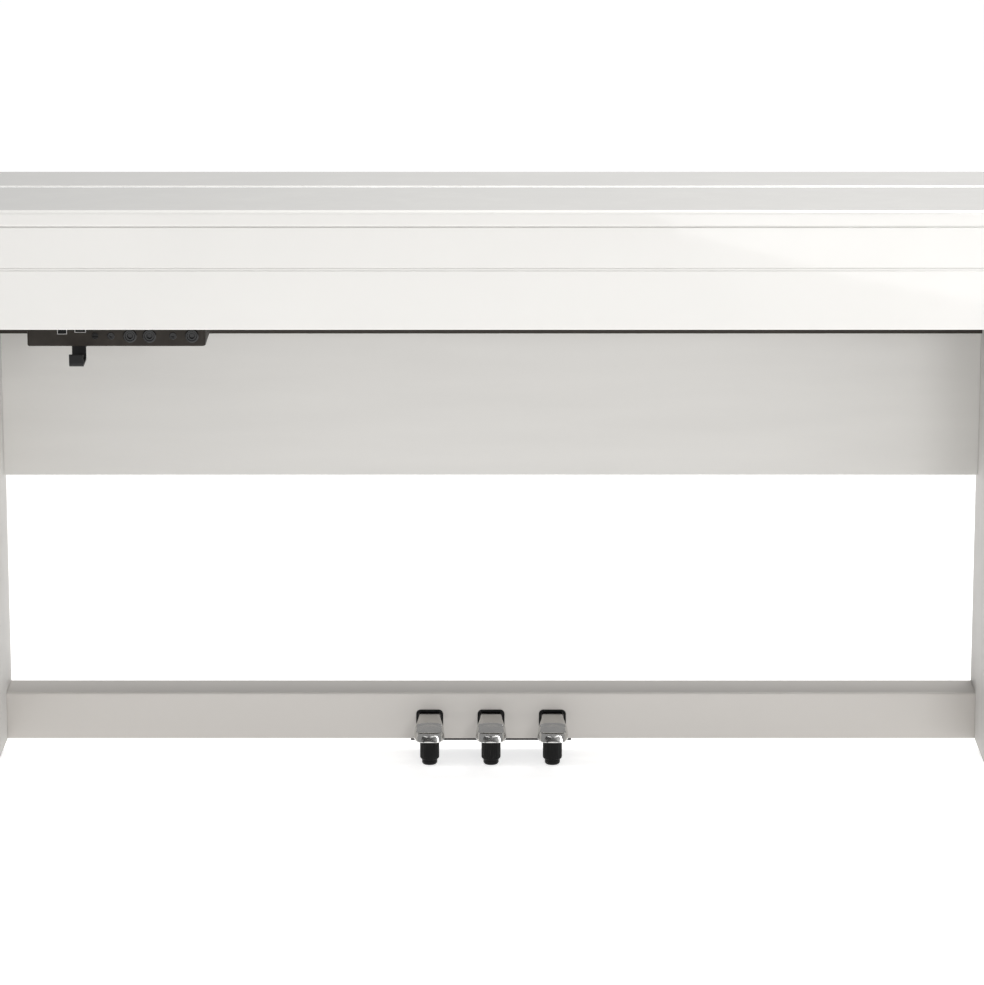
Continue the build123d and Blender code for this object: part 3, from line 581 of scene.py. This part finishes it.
# --- Cabinet ---
def make_side_panels():
    """The slab sides, lower in front of the fixed top board by the bumpers' height."""
    s = sizes()
    bumper_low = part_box("lid_bumpers")[0][2]
    step_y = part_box("rear_top_board")[0][1]
    for node in ("left_side_panel", "right_side_panel"):
        low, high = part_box(node)
        corners = [
            (low[1], low[2]),
            (high[1], low[2]),
            (high[1], high[2]),
            (step_y, high[2]),
            (step_y, bumper_low),
            (low[1], bumper_low),
        ]
        radii = (s.board_round, s.board_round, 0, 0, 0, s.board_round)
        outline = rounded_outline(corners, radii, s.round_steps)
        shape = carried(outline, low[0], high[0], "X", s.board_round, 4)
        make_piece(node + "_piece", shape, "side_shade_foil", "cabinet", (node,))


def make_cabinet_boards():
    """The fixed boards of the cabinet and the rear panel."""
    s = sizes()
    edge = s.board_round
    inner = s.hidden_round
    board("rear_top_board", "gloss_lacquer", (inner, inner, edge, edge), edge)
    board("key_slip", "gloss_lacquer", (edge, inner, inner, s.groove_round), inner)
    board("rear_panel", "satin_foil", (edge, edge, 0, 0), inner)
    board("cabinet_back_board", "satin_foil", (inner, inner, inner, inner), inner)
    board("pedal_rail_back", "rail_shade_lacquer", (inner, inner, inner, inner), inner)
    softened("bottom_board", "dark_paint", inner)
    softened("key_blocks", "gloss_lacquer", edge)


def bead(name, body, y, depth, z0, z1):
    """A lacquered bead along the flap, just behind the fronts of the boards."""
    flap_low, flap_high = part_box("lid_front_flap")
    corners = [(y, z0), (y + depth, z0), (y + depth, z1), (y, z1)]
    outline = rounded_outline(corners, [sizes().bead_gap] * 4, 3)
    shape = carried(outline, flap_low[0] + MM, flap_high[0] - MM, "X", sizes().bead_gap)
    make_piece(name, shape, "gloss_lacquer", body)


def make_lid():
    """The folding lid and the flap along its front."""
    s = sizes()
    lid_radii = (s.board_round, s.hidden_round, s.board_round, s.lid_round)
    board("lid_panel", "gloss_lacquer", lid_radii, s.board_round)
    flap_radii = (s.groove_round, s.board_round, s.hidden_round, s.board_round)
    board("lid_front_flap", "gloss_lacquer", flap_radii, s.hidden_round)
    flap_low, flap_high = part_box("lid_front_flap")
    front = flap_low[1] + s.bead_depth
    lid_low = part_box("lid_panel")[0][2]
    slip_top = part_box("key_slip")[1][2]
    bead("lid_bead", "lid", front, 3 * MM, flap_high[2] + s.bead_gap, lid_low + s.hidden_round)
    bead("slip_bead", "cabinet", front, 6 * MM, slip_top - s.groove_round, flap_low[2] - s.bead_gap)


def make_hinges():
    """The long lid hinge and the flap's small hinges."""
    for node in HINGES:
        softened(node, "hinge_coat", sizes().trim_bevel / 2)


# --- Keyboard and control strip ---
def make_keys():
    """Every key with softened edges."""
    for note in NOTES:
        finish = "sharp_key" if "sharp" in note else "natural_key"
        softened("keys_" + note, finish, sizes().key_bevel, 2)


def make_strip():
    """The control strip with its buttons, knob and felt lip."""
    s = sizes()
    softened("control_panel", "strip_moulding", s.trim_bevel)
    for node in BUTTONS:
        softened(node, "strip_moulding", s.key_bevel)
    softened("volume_knob", "strip_moulding", s.trim_bevel)
    dressed("display_window", "smoked_glass")
    strip_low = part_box("control_panel")[0]
    front = strip_low[1] - 0.2 * MM
    back = strip_low[1] + 2.6 * MM
    bottom = strip_low[2] - 2.0 * MM
    top = strip_low[2]
    corners = [(front, bottom), (back, bottom), (back, top), (front, top)]
    keys_low, keys_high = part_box("key_balance_rail")
    outline = rounded_outline(corners, [0.4 * MM] * 4, 3)
    shape = carried(outline, keys_low[0], keys_high[0], "X", 0.2 * MM)
    make_piece("key_felt_lip", shape, "felt_cloth", "cabinet")


# --- Jack box ---
def circle_cutter(x, z, radius, y0, y1, steps=40):
    """A round cutter along Y."""
    matrix = Matrix.Translation((x, y0, z)) @ Matrix.Rotation(math.radians(-90), 4, "X")
    return turned([(radius, 0.0), (radius, y1 - y0)], steps, matrix)


def socket_places():
    """Each front socket's x, z, flange radius and bore radius, from its CAD solids."""
    mounts = {mount["name"]: mount for mount in frame["record"]["mounts"]}
    wide = [mounts[name] for name in ("phones_jack", "output_jack_left", "output_jack_right")]
    small = [mounts[name] for name in ("input_mini_jack", "phones_mini_jack")]
    places = [(m["pos_m"][0], m["pos_m"][2], 8.5 * MM, m["dims"]["r_mm"] * MM) for m in wide]
    return places + [(m["pos_m"][0], m["pos_m"][2], 4.6 * MM, m["dims"]["r_mm"] * MM) for m in small]


def port_boxes(inset):
    """The four corners of each port's shell, drawn in by an inset."""
    low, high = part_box("usb_ports")
    middle = (low[2] + high[2]) / 2
    device_width = 12.2 * MM
    device_half = 5.45 * MM
    host_width = 14.1 * MM
    host_half = 3.25 * MM
    boxes = []
    for x0, x1, half in (
        (low[0], low[0] + device_width, device_half),
        (high[0] - host_width, high[0], host_half),
    ):
        left, right = x0 + inset, x1 - inset
        bottom, top = middle - half + inset, middle + half - inset
        boxes.append([(left, bottom), (right, bottom), (right, top), (left, top)])
    return boxes


def make_jack_box():
    """The moulded box with its socket holes."""
    low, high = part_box("jack_box")
    corners = [(low[0], low[1]), (high[0], low[1]), (high[0], high[1]), (low[0], high[1])]
    outline = rounded_outline(corners, (3 * MM, 6 * MM, 6 * MM, 6 * MM), sizes().round_steps)
    shape = carried(outline, low[2], high[2], "Z")
    floor_rim = [edge for edge in shape.edges if all(abs(v.co.z - low[2]) < 1e-6 for v in edge.verts)]
    bevelled(shape, floor_rim, 2 * MM, 4)
    piece = make_piece("jack_box_piece", shape, "charcoal_moulding", "cabinet", ("jack_box",))
    before = low[1] - 5 * MM
    cutters = []
    for place in socket_places():
        x, z, flange = place[:3]
        cutters.append(circle_cutter(x, z, 0.75 * flange, before, low[1] + 40 * MM))
    for box in port_boxes(-0.25 * MM):
        cutters.append(carried(box, before, low[1] + 20 * MM, "Y"))
    carve(piece, cutters)


def socket_shape(x, z, flange, bore, front, depth):
    """A round socket: chamfered nut, recessed face and a deep bore."""
    proud = flange * 0.2
    profile = [
        (flange * 0.6, -2.4 * MM),
        (flange, -0.05 * MM),
        (flange, proud * 0.55),
        (flange * 0.9, proud),
        (flange * 0.74, proud),
        (flange * 0.66, proud * 0.5),
        (bore * 1.15, proud * 0.5),
        (bore, proud * 0.2),
        (bore, -depth),
    ]
    matrix = Matrix.Translation((x, front, z)) @ Matrix.Rotation(math.radians(90), 4, "X")
    return turned(profile, 48, matrix)


def make_port_shade_linings():
    """Black blocks just inside each port's metal shell: the port's black plastic, the blocks also filling
    each port's hollow as painted shade.
    """
    low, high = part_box("usb_ports")
    rim = 1.3 * MM
    linings = []
    for corners in port_boxes(rim):
        outline = rounded_outline(corners, [0.3 * MM] * 4, 3)
        linings.append(carried(outline, low[1] + 0.7 * MM, high[1], "Y"))
    make_piece("usb_shade_linings", joined(linings), "black_moulding", "cabinet")


def make_sockets():
    """The round sockets, the ports and the power inlet."""
    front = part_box("jack_box")[0][1]
    places = socket_places()
    wide = [socket_shape(*place, front, 22 * MM) for place in places[:3]]
    small = [socket_shape(*place, front, 10 * MM) for place in places[3:]]
    make_piece("phones_jack_piece", wide[0], "socket_black", "cabinet", ("phones_jack",))
    make_piece("output_jacks_piece", joined(wide[1:]), "socket_black", "cabinet", ("output_jacks",))
    make_piece("mini_jacks_piece", joined(small), "socket_black", "cabinet", ("mini_jacks",))
    softened("usb_ports", "plain_steel", sizes().trim_bevel / 2)
    make_port_shade_linings()
    softened("dc_inlet", "black_moulding", sizes().trim_bevel)
    softened("cabinet_screws", "black_coat", sizes().trim_bevel)


def make_hook():
    """The bent headphone hook."""
    softened("headphone_hook", "black_coat", sizes().trim_bevel)


# --- Pedal rail, pedals and adjusters ---
def pedal_middle(place):
    """The x of a pedal's middle."""
    low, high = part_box(place + "_pedal")
    return (low[0] + high[0]) / 2


def make_rail():
    """The rail's rounded board, slotted for the pedals, and the slots' linings."""
    s = sizes()
    low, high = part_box("pedal_rail")
    wall = s.rail_wall
    corners = [
        (low[1], low[2]),
        (low[1] + wall, low[2]),
        (low[1] + wall, high[2] - wall),
        (high[1], high[2] - wall),
        (high[1], high[2]),
        (low[1], high[2]),
    ]
    radii = (s.board_round, s.hidden_round, 0, 0, s.board_round, s.rail_round)
    shape = carried(rounded_outline(corners, radii, 2 * s.round_steps), low[0], high[0], "X", s.hidden_round)
    piece = make_piece("pedal_rail_piece", shape, "rail_shade_lacquer", "cabinet", ("pedal_rail",))
    bezel_low, bezel_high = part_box("pedal_bezels")
    spread = pedal_middle("right") - pedal_middle("left")
    half = (bezel_high[0] - bezel_low[0] - spread) / 2
    cutters = []
    for place in PEDALS:
        x = pedal_middle(place)
        top = bezel_high[2]
        slot = [(x - half, 0.0), (x + half, 0.0), (x + half, top), (x - half, top)]
        arch = rounded_outline(slot, (0, 0, half / 3, half / 3), s.round_steps)
        cutters.append(carried(arch, low[1] - wall, low[1] + 1.5 * wall, "Y"))
    carve(piece, cutters)
    softened("pedal_bezels", "black_moulding", s.trim_bevel)


def pedal_section(x, half, inset, top_of, bottom):
    """The closed loop of points round one section of a pedal."""
    across = 12
    flat = half - inset
    shares = [2 * step / across - 1 for step in range(across + 1)]
    points = [(x + flat * share, top_of(share)) for share in shares]
    shoulder = top_of(1.0)
    fall = shoulder - bottom
    right = [
        (flat + inset * 0.22, shoulder - fall * 0.04),
        (flat + inset * 0.5, shoulder - fall * 0.18),
        (half - inset * 0.15, shoulder - fall * 0.5),
        (half, bottom + fall * 0.25),
        (half - fall * 0.02, bottom + fall * 0.08),
        (half - fall * 0.1, bottom),
    ]
    points += [(x + a, b) for a, b in right]
    points += [(x - a, b) for a, b in reversed(right)]
    return points


def eased(share):
    """A share from 0 to 1, eased at both ends."""
    share = min(1.0, max(0.0, share))
    return share * share * (3 - 2 * share)


def pedal_shape(place):
    """A pedal lofted from heel to tip, its sloping pad ending at an arched crease."""
    low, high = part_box(place + "_pedal")
    x = pedal_middle(place)
    tip, heel = low[1], high[1]
    head = (high[0] - low[0]) / 2 - 0.4 * MM
    neck = 14.2 * MM
    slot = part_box("pedal_rail")[0][1]
    crease = tip + 24 * MM
    plateau = high[2] + 0.3 * MM
    pad_back = plateau - 6.2 * MM
    tip_top = plateau - 12.2 * MM
    tip_low = plateau - 25.0 * MM
    nose = 8 * MM
    curl_depth = 3.4 * MM
    crown = 0.5 * MM
    flare_start = crease - 16 * MM
    arch_rise = 5 * MM
    arch_start = crease - 4 * MM
    step_length = 2 * MM
    tip_bow = 3.2 * MM
    tip_lean = 4.2 * MM
    stations = [tip + nose * (1 - math.cos(math.radians(90 * k / 12))) for k in range(13)]
    body_steps = 60
    body = heel - tip - nose
    stations += [tip + nose + body * k / body_steps for k in range(1, body_steps + 1)]
    shape = bmesh.new()
    loops = []
    for y in stations:
        neckness = eased((y - flare_start) / (slot - flare_start))
        half = head + (neck - head) * neckness
        inset = (3.6 - 2.6 * neckness) * MM
        into = min(1.0, (y - tip) / nose)
        half -= nose * (1 - math.sqrt(max(0.0, 1 - (1 - into) ** 2)))
        near = min(1.0, (y - tip) / curl_depth)
        curl = 1 - math.sqrt(max(0.0, 1 - (1 - near) ** 2))

        def top_of(u, y=y, curl=curl):
            arch = arch_start + arch_rise * (1 - u * u)
            pad = tip_top + (pad_back - 0.8 * MM - tip_top) * (min(y, arch) - tip) / (crease - tip)
            pad += crown * (1 - u * u) - curl_depth * curl
            climb = min(1.0, (y - crease) / (slot - crease))
            neck_top = pad_back + (plateau - pad_back) * climb + 0.3 * MM
            return pad + (neck_top - pad) * eased((y - arch) / step_length)

        rise = min(1.0, max(0.0, (y - tip) / (crease - tip)))
        bottom = tip_low + 13 * MM * rise + 1.2 * MM * curl
        bottom -= 5 * MM * eased((y - heel + 50 * MM) / (40 * MM))
        loop = []
        for a, b in pedal_section(x, half, inset, top_of, bottom):
            across = (a - x) / head
            down = (tip_top - b) / (tip_top - tip_low)
            lean = (1 - into) * (tip_bow * across * across - tip_lean * down)
            loop.append(shape.verts.new((a, y + lean, b)))
        loops.append(loop)
    for first, second in zip(loops, loops[1:]):
        for index in range(len(first)):
            after = (index + 1) % len(first)
            shape.faces.new((first[index], first[after], second[after], second[index]))
    shape.faces.new(loops[0][::-1])
    shape.faces.new(loops[-1])
    bmesh.ops.recalc_face_normals(shape, faces=shape.faces)
    return shape


def make_pedals():
    """The three chrome pedals."""
    for place in PEDALS:
        node = place + "_pedal"
        piece = make_piece(node + "_piece", pedal_shape(place), "chrome_plate", node, (node,), 50.0)
        piece.modifiers.clear()
        soften = piece.modifiers.new("soften", "SUBSURF")
        soften.levels = 1
        soften.render_levels = 1


def make_adjusters():
    """The black screw feet under the pedals, and the plate that holds them."""
    s = sizes()
    for place in PEDALS:
        node = place + "_adjuster"
        low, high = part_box(node)
        radius = (high[0] - low[0]) / 2 + 0.5 * MM
        centre = ((low[0] + high[0]) / 2, (low[1] + high[1]) / 2, 0.0)
        tread = radius * 0.8
        knob_top = 34 * MM
        stem = 4 * MM
        profile = [
            (tread * 0.6, 0.0),
            (tread * 0.86, 0.6 * MM),
            (tread, 2.6 * MM),
            (tread, 7.2 * MM),
            (radius * 0.94, 8.4 * MM),
            (radius, 9.6 * MM),
            (radius, knob_top - 1.6 * MM),
            (radius * 0.9, knob_top),
            (stem, knob_top),
            (stem, high[2]),
        ]
        shape = turned(profile, 168, Matrix.Translation(centre), s.knurl_ribs, 0.5 * MM, (5, 6))
        make_piece(node + "_piece", shape, "black_moulding", node, (node,))
    softened("pedal_base_plate", "black_coat", s.trim_bevel)


def make_feet():
    """The four round feet under the slab sides."""
    low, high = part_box("panel_feet")
    radius = 15 * MM
    feet = []
    for x in (low[0] + radius, high[0] - radius):
        for y in (low[1] + radius, high[1] - radius):
            profile = [
                (radius * 0.66, 0.0),
                (radius * 0.78, 0.8 * MM),
                (radius * 0.8, 9 * MM),
                (radius, 10.5 * MM),
                (radius, high[2] - 0.8 * MM),
                (radius * 0.96, high[2]),
            ]
            feet.append(turned(profile, 64, Matrix.Translation((x, y, 0.0))))
    make_piece("panel_feet_piece", joined(feet), "black_moulding", "cabinet", ("panel_feet",))


def make_inner_parts():
    """Finishes of the pieces that stay as the frame has them."""
    finishes = {
        "key_bed_battens": "bare_wood",
        "key_balance_rail": "bare_wood",
        "key_stop_felt": "felt_cloth",
        "key_chassis": "black_coat",
        "lid_bumpers": "soft_rubber",
        "speakers": "black_moulding",
        "main_board": "circuit_mask",
        "pedal_pivot_rod": "plain_steel",
        "pedal_springs": "plain_steel",
    }
    for node, finish in finishes.items():
        dressed(node, finish)


# --- Stage ---
def flat_card(name, corners, strength, tint):
    """A flat card on the stage that the gloss boards and the chrome mirror."""
    mesh = bpy.data.meshes.new(name)
    mesh.from_pydata(corners, [], [list(range(len(corners)))])
    card = bpy.data.objects.new(name, mesh)
    bpy.context.scene.collection.objects.link(card)
    material, _, shader = blank_material(name)
    shader.inputs["Base Color"].default_value = (tint, tint, tint, 1.0)
    shader.inputs["Emission Color"].default_value = (1.0, 1.0, 1.0, 1.0)
    shader.inputs["Emission Strength"].default_value = strength
    mesh.materials.append(material)


def make_cards():
    """A bright curved card on the floor, right of the camera, and a dark one far behind it."""
    bright_strength = 2.4
    bright_tint = 0.8
    dark_tint = 0.01
    lift = 0.002
    corners = [(0.38, -5.4), (0.42, -4.62), (0.75, -4.05), (1.3, -3.35), (2.6, -3.0), (2.6, -5.4)]
    outline = rounded_outline(corners, (0, 0.1, 0.3, 0.5, 0, 0), sizes().round_steps)
    sheet = [(p.x, p.y, lift) for p in reversed(outline)]
    flat_card("bright_card", sheet, bright_strength, bright_tint)
    left, right, top, bottom, far = -1.9, 0.5, 3.0, 0.01, -9.5
    sheet = [(left, far, bottom), (left, far, top), (right, far, top), (right, far, bottom)]
    flat_card("dark_card", sheet, 0.0, dark_tint)


def make_floor():
    """A wide pale floor that glows a little, as a lit studio sweep does."""
    reach = 30.0
    glow = 0.69
    mesh = bpy.data.meshes.new("floor")
    corners = [(-reach, -reach, 0), (reach, -reach, 0), (reach, reach, 0), (-reach, reach, 0)]
    mesh.from_pydata(corners, [], [(0, 1, 2, 3)])
    floor = bpy.data.objects.new("floor", mesh)
    bpy.context.scene.collection.objects.link(floor)
    material, _, shader = blank_material("studio_floor")
    shader.inputs["Base Color"].default_value = (*colours().floor, 1.0)
    shader.inputs["Roughness"].default_value = 0.9
    shader.inputs["Emission Color"].default_value = (1.0, 1.0, 1.0, 1.0)
    shader.inputs["Emission Strength"].default_value = glow
    mesh.materials.append(material)


def area_light(name, place, target, size, power, tint=(1.0, 1.0, 1.0)):
    """A rectangular soft light aimed at a point."""
    data = bpy.data.lights.new(name, "AREA")
    data.shape = "RECTANGLE"
    data.size, data.size_y = size
    data.energy = power
    data.color = tint
    light = bpy.data.objects.new(name, data)
    light.location = place
    light.rotation_euler = (Vector(target) - Vector(place)).to_track_quat("-Z", "Y").to_euler()
    bpy.context.scene.collection.objects.link(light)
    return light


def make_world():
    """An even pale surround."""
    strength = 0.34
    world = bpy.data.worlds.new("studio")
    world.use_nodes = True
    back = world.node_tree.nodes["Background"]
    back.inputs["Color"].default_value = (1.0, 1.0, 1.0, 1.0)
    back.inputs["Strength"].default_value = strength
    bpy.context.scene.world = world
    bpy.context.scene.view_settings.view_transform = "Standard"


def make_camera():
    """A long lens in front of the piano, a little above it and looking down."""
    distance = 5.316
    height = 1.654
    pitch = math.radians(13.04)
    sideways = 0.0013
    data = bpy.data.cameras.new("camera")
    data.lens = 160.0
    data.sensor_width = 36.0
    data.clip_end = 200.0
    camera = bpy.data.objects.new("camera", data)
    camera.location = (sideways, cad_box[0][1] - distance, height)
    camera.rotation_euler = (math.pi / 2 - pitch, 0.0, 0.0)
    bpy.context.scene.collection.objects.link(camera)
    bpy.context.scene.camera = camera


def make_stage():
    """The camera, the surround, the floor, the cards and the two lights."""
    make_camera()
    make_world()
    make_floor()
    make_cards()
    front_power = 24.0
    top_power = 88.0
    area_light("front_light", (1.4, -4.2, 1.4), (0.0, 0.0, 0.5), (0.8, 0.8), front_power)
    area_light("top_light", (0.9, 0.1, 3.2), (0.2, 0.0, 0.6), (2.0, 0.8), top_power)


# --- Operators ---
class PIANO_OT_stage(bpy.types.Operator):
    """Make the floor, the light and the camera"""

    bl_idname = "piano.stage"
    bl_label = "Stage"

    def execute(self, context):
        make_stage()
        return {"FINISHED"}


class PIANO_OT_cabinet(bpy.types.Operator):
    """Make the slab sides and the cabinet's fixed boards"""

    bl_idname = "piano.cabinet"
    bl_label = "Cabinet boards"

    def execute(self, context):
        make_side_panels()
        make_cabinet_boards()
        return {"FINISHED"}


class PIANO_OT_lid(bpy.types.Operator):
    """Make the lid, its flap and their hinges"""

    bl_idname = "piano.lid"
    bl_label = "Lid and flap"

    def execute(self, context):
        make_lid()
        make_hinges()
        return {"FINISHED"}


class PIANO_OT_keyboard(bpy.types.Operator):
    """Make the keys"""

    bl_idname = "piano.keyboard"
    bl_label = "Keys"

    def execute(self, context):
        make_keys()
        return {"FINISHED"}


class PIANO_OT_strip(bpy.types.Operator):
    """Make the control strip, its buttons and its knob"""

    bl_idname = "piano.strip"
    bl_label = "Control strip"

    def execute(self, context):
        make_strip()
        return {"FINISHED"}


class PIANO_OT_jack_box(bpy.types.Operator):
    """Make the jack box, its sockets and the headphone hook"""

    bl_idname = "piano.jack_box"
    bl_label = "Jack box and hook"

    def execute(self, context):
        make_jack_box()
        make_sockets()
        make_hook()
        return {"FINISHED"}


class PIANO_OT_pedal_rail(bpy.types.Operator):
    """Make the pedal rail and its slots"""

    bl_idname = "piano.pedal_rail"
    bl_label = "Pedal rail"

    def execute(self, context):
        make_rail()
        return {"FINISHED"}


class PIANO_OT_pedals(bpy.types.Operator):
    """Make the pedals, their adjusters and the base plate"""

    bl_idname = "piano.pedals"
    bl_label = "Pedals and adjusters"

    def execute(self, context):
        make_pedals()
        make_adjusters()
        return {"FINISHED"}


class PIANO_OT_feet(bpy.types.Operator):
    """Make the feet under the slab sides"""

    bl_idname = "piano.feet"
    bl_label = "Feet"

    def execute(self, context):
        make_feet()
        return {"FINISHED"}


class PIANO_OT_inner_parts(bpy.types.Operator):
    """Give the inner pieces their finishes"""

    bl_idname = "piano.inner_parts"
    bl_label = "Inner parts"

    def execute(self, context):
        make_inner_parts()
        return {"FINISHED"}


PIECES = (
    PIANO_OT_stage,
    PIANO_OT_cabinet,
    PIANO_OT_lid,
    PIANO_OT_keyboard,
    PIANO_OT_strip,
    PIANO_OT_jack_box,
    PIANO_OT_pedal_rail,
    PIANO_OT_pedals,
    PIANO_OT_feet,
    PIANO_OT_inner_parts,
)


class PIANO_PT_pieces(bpy.types.Panel):
    """Lists the piano's pieces in the sidebar"""

    bl_idname = "PIANO_PT_pieces"
    bl_label = "Digital piano"
    bl_space_type = "VIEW_3D"
    bl_region_type = "UI"
    bl_category = "Piano"

    def draw(self, context):
        layout = self.layout
        for group in (context.scene.piano_sizes, context.scene.piano_colours):
            box = layout.box()
            for name in group.__annotations__:
                box.prop(group, name)
        for operator in PIECES:
            layout.operator(operator.bl_idname)


CLASSES = (PianoSizes, PianoColours, *PIECES, PIANO_PT_pieces)


def register():
    for item in CLASSES:
        bpy.utils.register_class(item)
    bpy.types.Scene.piano_sizes = PointerProperty(type=PianoSizes)
    bpy.types.Scene.piano_colours = PointerProperty(type=PianoColours)


def unregister():
    del bpy.types.Scene.piano_colours
    del bpy.types.Scene.piano_sizes
    for item in reversed(CLASSES):
        bpy.utils.unregister_class(item)


def main():
    register()
    bpy.ops.piano.stage()
    bpy.ops.piano.cabinet()
    bpy.ops.piano.lid()
    bpy.ops.piano.keyboard()
    bpy.ops.piano.strip()
    bpy.ops.piano.jack_box()
    bpy.ops.piano.pedal_rail()
    bpy.ops.piano.pedals()
    bpy.ops.piano.feet()
    bpy.ops.piano.inner_parts()


if __name__ == "__main__":
    main()
